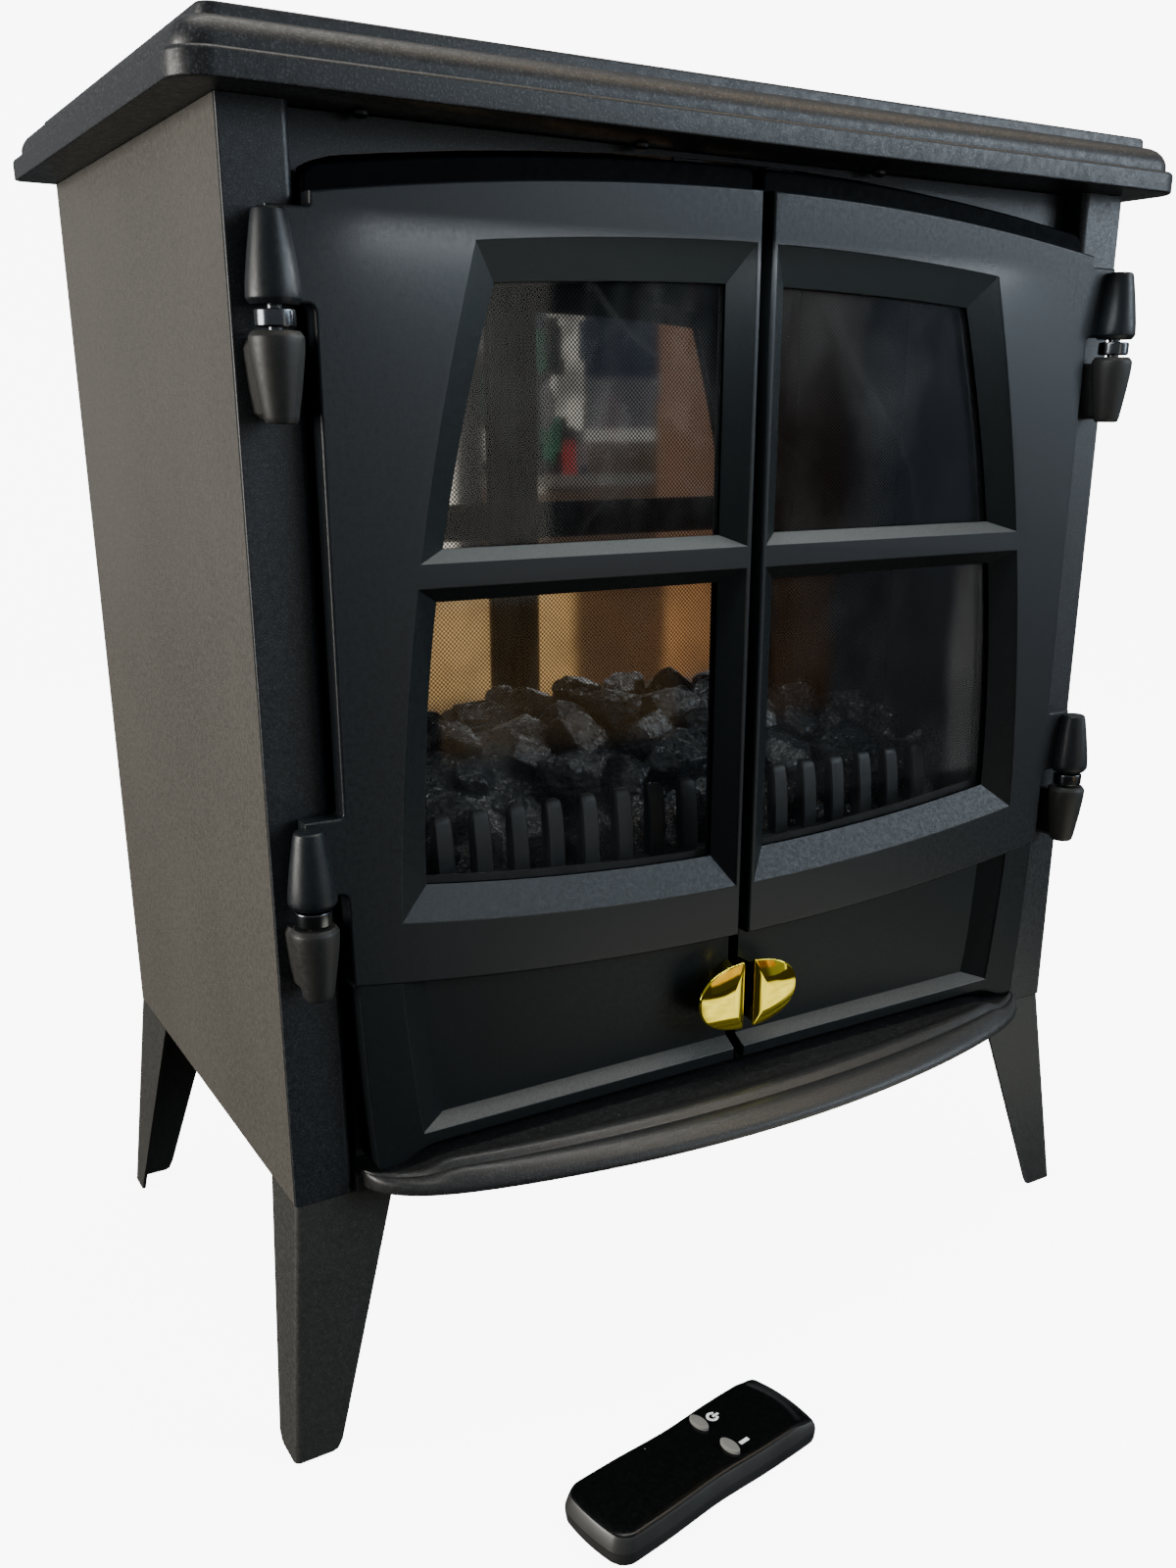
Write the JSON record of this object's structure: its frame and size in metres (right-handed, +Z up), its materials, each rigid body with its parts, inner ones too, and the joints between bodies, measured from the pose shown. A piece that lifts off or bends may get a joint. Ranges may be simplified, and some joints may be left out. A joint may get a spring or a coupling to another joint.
{
  "type": "electric stove heater",
  "caption": "Free-standing electric stove heater with hinged glazed doors, moulded top, splayed legs, bowed hearth shelf, coal fire effect, fan heater and a remote control.",
  "frame": {"origin": "floor point under the centre of the bounding box of the stove and its remote control", "axes": "+X to the right seen from the front, the doors face -Y, +Z up"},
  "size_m": [0.514, 0.4339, 0.6005],
  "materials": {
    "black_powder_coat": "fine-textured powder coat",
    "satin_black_cast": "satin black paint",
    "matt_black_liner": "matt",
    "door_glass": "clear",
    "screen_mirror": "mirror with a fine dot pattern",
    "polished_brass": "polished",
    "dark_chrome": "polished",
    "zinc_steel": "zinc plated",
    "coal_resin": "glossy on dark rough resin",
    "black_plastic": "matt",
    "grey_button": "matt",
    "circuit_board": "solder mask",
    "resistance_wire": "oxidised",
    "mica_board": "matt",
    "cell_can": "nickel plated"
  },
  "bodies": {
    "stove": {"back_panel": "black_powder_coat", "base_tray": "black_powder_coat", "cable_inlet_gland": "black_plastic", "coal_bed": "coal_resin", "control_board": "circuit_board", "control_panel": "black_powder_coat", "door_catch": "black_plastic", "element_frame": "mica_board", "fan_housing": "zinc_steel", "fan_motor": "zinc_steel", "fire_fret": "satin_black_cast", "firebox_floor": "matt_black_liner", "firebox_wall_left": "matt_black_liner", "firebox_wall_right": "matt_black_liner", "flame_screen": "screen_mirror", "front_post_left": "black_powder_coat", "front_post_right": "black_powder_coat", "front_top_rail": "black_powder_coat", "hearth_shelf": "black_powder_coat", "heating_element": "resistance_wire", "hinge_pin_left_bottom": "dark_chrome", "hinge_pin_left_top": "dark_chrome", "hinge_pin_right_bottom": "dark_chrome", "hinge_pin_right_top": "dark_chrome", "lamp_board": "circuit_board", "leg_front_left": "black_powder_coat", "leg_front_right": "black_powder_coat", "leg_rear_left": "black_powder_coat", "leg_rear_right": "black_powder_coat", "outlet_grille": "black_plastic", "plate_screw_left": "black_powder_coat", "plate_screw_middle": "black_powder_coat", "plate_screw_right": "black_powder_coat", "rotor_motor": "zinc_steel", "side_panel_left": "black_powder_coat", "side_panel_right": "black_powder_coat", "switch_bank": "black_plastic", "thermostat_body": "zinc_steel", "top_plate": "black_powder_coat"},
    "left_door": {"door_frame_left": "satin_black_cast", "door_glass_left": "door_glass", "glass_retainer_left": "matt_black_liner", "door_handle_left": "polished_brass"},
    "right_door": {"door_frame_right": "satin_black_cast", "door_glass_right": "door_glass", "glass_retainer_right": "matt_black_liner", "door_handle_right": "polished_brass"},
    "flame_spinner": {"flame_rotor": "zinc_steel"},
    "fan_wheel": {"fan_impeller": "black_plastic"},
    "flame_switch": {"rocker_flame": "black_plastic"},
    "low_heat_switch": {"rocker_low_heat": "black_plastic"},
    "high_heat_switch": {"rocker_high_heat": "black_plastic"},
    "thermostat_dial": {"thermostat_knob": "black_plastic"},
    "remote": {"remote_lid": "black_plastic", "remote_base": "black_plastic", "remote_board": "circuit_board", "remote_coin_cell": "cell_can"},
    "remote_power_key": {"remote_button_power": "grey_button"},
    "remote_heat_key": {"remote_button_heat": "grey_button"},
    "remote_cover": {"remote_battery_cover": "black_plastic"}
  },
  "joints": [
    {"name": "left_door_hinge", "type": "hinge", "parent": "stove", "child": "left_door", "pos_m": [-0.2253, -0.0848, 0.36], "axis": [0, 0, -1], "range_deg": [0, 120]},
    {"name": "right_door_hinge", "type": "hinge", "parent": "stove", "child": "right_door", "pos_m": [0.2253, -0.0848, 0.36], "axis": [0, 0, 1], "range_deg": [0, 120]},
    {"name": "flame_rotor_spin", "type": "hinge", "parent": "stove", "child": "flame_spinner", "pos_m": [0, 0.1029, 0.27], "axis": [1, 0, 0], "continuous": true},
    {"name": "fan_spin", "type": "hinge", "parent": "stove", "child": "fan_wheel", "pos_m": [0, 0.0199, 0.168], "axis": [1, 0, 0], "continuous": true},
    {"name": "flame_rocker", "type": "hinge", "parent": "stove", "child": "flame_switch", "pos_m": [0.055, -0.0526, 0.19], "axis": [-1, 0, 0], "range_deg": [0, 14]},
    {"name": "low_heat_rocker", "type": "hinge", "parent": "stove", "child": "low_heat_switch", "pos_m": [0.085, -0.0526, 0.19], "axis": [-1, 0, 0], "range_deg": [0, 14]},
    {"name": "high_heat_rocker", "type": "hinge", "parent": "stove", "child": "high_heat_switch", "pos_m": [0.115, -0.0526, 0.19], "axis": [-1, 0, 0], "range_deg": [0, 14]},
    {"name": "thermostat_turn", "type": "hinge", "parent": "stove", "child": "thermostat_dial", "pos_m": [-0.07, -0.0591, 0.19], "axis": [0, 1, 0], "range_deg": [0, 270]},
    {"name": "remote_lift", "type": "slide", "parent": "stove", "child": "remote", "axis": [0, 0, 1], "range_m": [0, 0.1]},
    {"name": "remote_power_press", "type": "slide", "parent": "remote", "child": "remote_power_key", "axis": [0, 0, -1], "range_m": [0, 0.0008], "stiffness_N_per_m": 400, "springref_m": -0.0015},
    {"name": "remote_heat_press", "type": "slide", "parent": "remote", "child": "remote_heat_key", "axis": [0, 0, -1], "range_m": [0, 0.0008], "stiffness_N_per_m": 400, "springref_m": -0.0015},
    {"name": "battery_cover_slide", "type": "slide", "parent": "remote", "child": "remote_cover", "axis": [-0.9869, -0.1616, 0], "range_m": [0, 0.045]}
  ]
}
